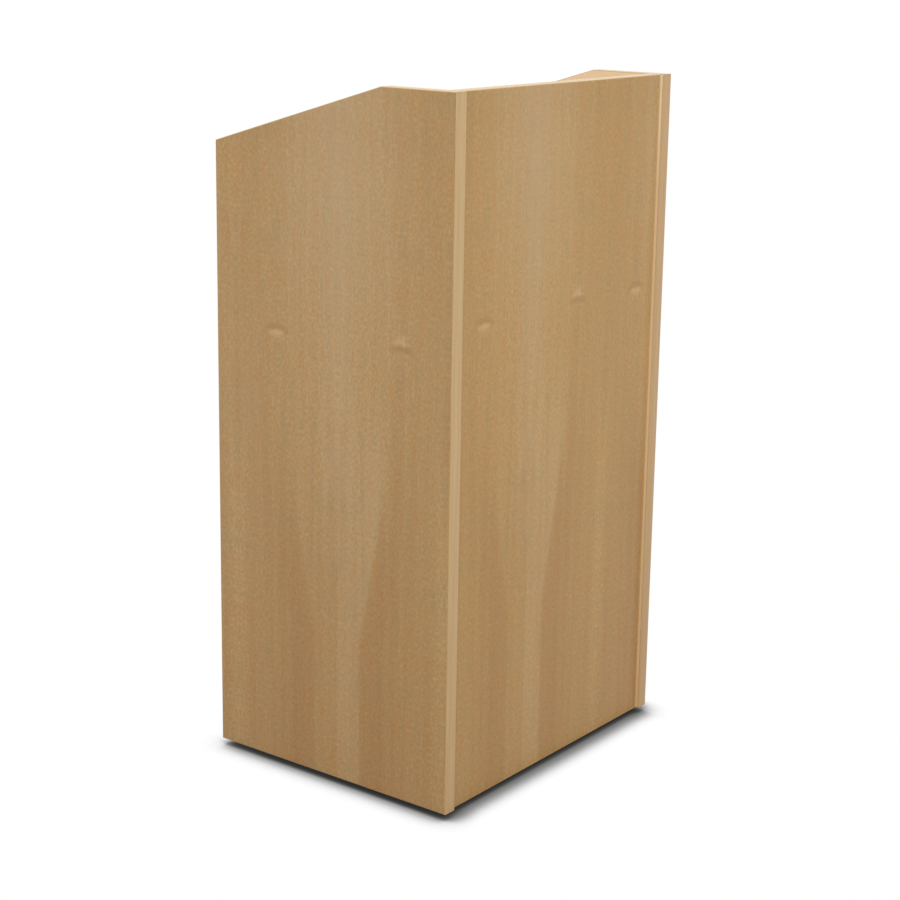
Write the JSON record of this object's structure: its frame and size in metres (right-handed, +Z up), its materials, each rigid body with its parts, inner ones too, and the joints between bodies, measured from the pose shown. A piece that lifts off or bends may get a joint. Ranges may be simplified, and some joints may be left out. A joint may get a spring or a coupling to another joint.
{
  "type": "floor lectern",
  "caption": "Floor lectern in maple-veneered board: sloped reading board between profiled side panels, open back with a loose shelf, and hidden swivel casters, the rear ones braked.",
  "frame": {"origin": "on the floor, under the middle of the cabinet's bounding box", "axes": "+Z up; +Y towards the presenter, so the audience sees the -Y side; +X towards the side panel on the audience's right"},
  "size_m": [0.61, 0.494, 1.168],
  "materials": {
    "maple_veneer": "satin lacquer",
    "solid_maple": "satin lacquer",
    "beech": "raw",
    "nickelled_steel": "nickel plated",
    "zinc_steel": "bright zinc",
    "black_nylon": "moulded",
    "grey_polypropylene": "moulded",
    "grey_rubber": "matt"
  },
  "bodies": {
    "cabinet": {"side_panel_left": "maple_veneer", "side_panel_right": "maple_veneer", "front_panel": "maple_veneer", "ledge_board": "maple_veneer", "reading_board": "maple_veneer", "base_board": "maple_veneer", "shelf_board": "maple_veneer", "lipping_left": "solid_maple", "lipping_right": "solid_maple", "front_lipping": "solid_maple", "book_stop": "solid_maple", "rear_rail": "solid_maple", "base_lipping": "solid_maple", "shelf_lipping": "solid_maple", "dowels": "beech", "shelf_pins": "nickelled_steel", "cams": "nickelled_steel", "cam_bolts": "nickelled_steel", "caster_screws": "nickelled_steel", "top_grommet": "black_nylon", "base_grommet": "black_nylon", "caster_plates": "zinc_steel", "king_pins": "zinc_steel", "race_balls": "zinc_steel"},
    "fork_front_left": {"fork_front_left": "zinc_steel", "axle_front_left": "zinc_steel"},
    "wheel_front_left": {"hub_front_left": "grey_polypropylene", "tyre_front_left": "grey_rubber"},
    "fork_front_right": {"fork_front_right": "zinc_steel", "axle_front_right": "zinc_steel"},
    "wheel_front_right": {"hub_front_right": "grey_polypropylene", "tyre_front_right": "grey_rubber"},
    "fork_rear_left": {"fork_rear_left": "zinc_steel", "axle_rear_left": "zinc_steel", "brake_pin_left": "zinc_steel"},
    "wheel_rear_left": {"hub_rear_left": "grey_polypropylene", "tyre_rear_left": "grey_rubber"},
    "fork_rear_right": {"fork_rear_right": "zinc_steel", "axle_rear_right": "zinc_steel", "brake_pin_right": "zinc_steel"},
    "wheel_rear_right": {"hub_rear_right": "grey_polypropylene", "tyre_rear_right": "grey_rubber"},
    "brake_left": {"brake_lever_left": "black_nylon"},
    "brake_right": {"brake_lever_right": "black_nylon"}
  },
  "joints": [
    {"name": "swivel_front_left", "type": "hinge", "parent": "cabinet", "child": "fork_front_left", "pos_m": [-0.1996, -0.1496, 0.068], "axis": [0, 0, 1], "continuous": true},
    {"name": "roll_front_left", "type": "hinge", "parent": "fork_front_left", "child": "wheel_front_left", "pos_m": [-0.1996, -0.1296, 0.025], "axis": [1, 0, 0], "continuous": true},
    {"name": "swivel_front_right", "type": "hinge", "parent": "cabinet", "child": "fork_front_right", "pos_m": [0.1996, -0.1496, 0.068], "axis": [0, 0, 1], "continuous": true},
    {"name": "roll_front_right", "type": "hinge", "parent": "fork_front_right", "child": "wheel_front_right", "pos_m": [0.1996, -0.1296, 0.025], "axis": [1, 0, 0], "continuous": true},
    {"name": "swivel_rear_left", "type": "hinge", "parent": "cabinet", "child": "fork_rear_left", "pos_m": [-0.1996, 0.173, 0.068], "axis": [0, 0, 1], "continuous": true},
    {"name": "roll_rear_left", "type": "hinge", "parent": "fork_rear_left", "child": "wheel_rear_left", "pos_m": [-0.1996, 0.193, 0.025], "axis": [1, 0, 0], "continuous": true},
    {"name": "swivel_rear_right", "type": "hinge", "parent": "cabinet", "child": "fork_rear_right", "pos_m": [0.1996, 0.173, 0.068], "axis": [0, 0, 1], "continuous": true},
    {"name": "roll_rear_right", "type": "hinge", "parent": "fork_rear_right", "child": "wheel_rear_right", "pos_m": [0.1996, 0.193, 0.025], "axis": [1, 0, 0], "continuous": true},
    {"name": "brake_left", "type": "hinge", "parent": "fork_rear_left", "child": "brake_left", "pos_m": [-0.1996, 0.21178, 0.04903], "axis": [1, 0, 0], "range_deg": [-9.5, 0]},
    {"name": "brake_right", "type": "hinge", "parent": "fork_rear_right", "child": "brake_right", "pos_m": [0.1996, 0.21178, 0.04903], "axis": [1, 0, 0], "range_deg": [-9.5, 0]}
  ]
}
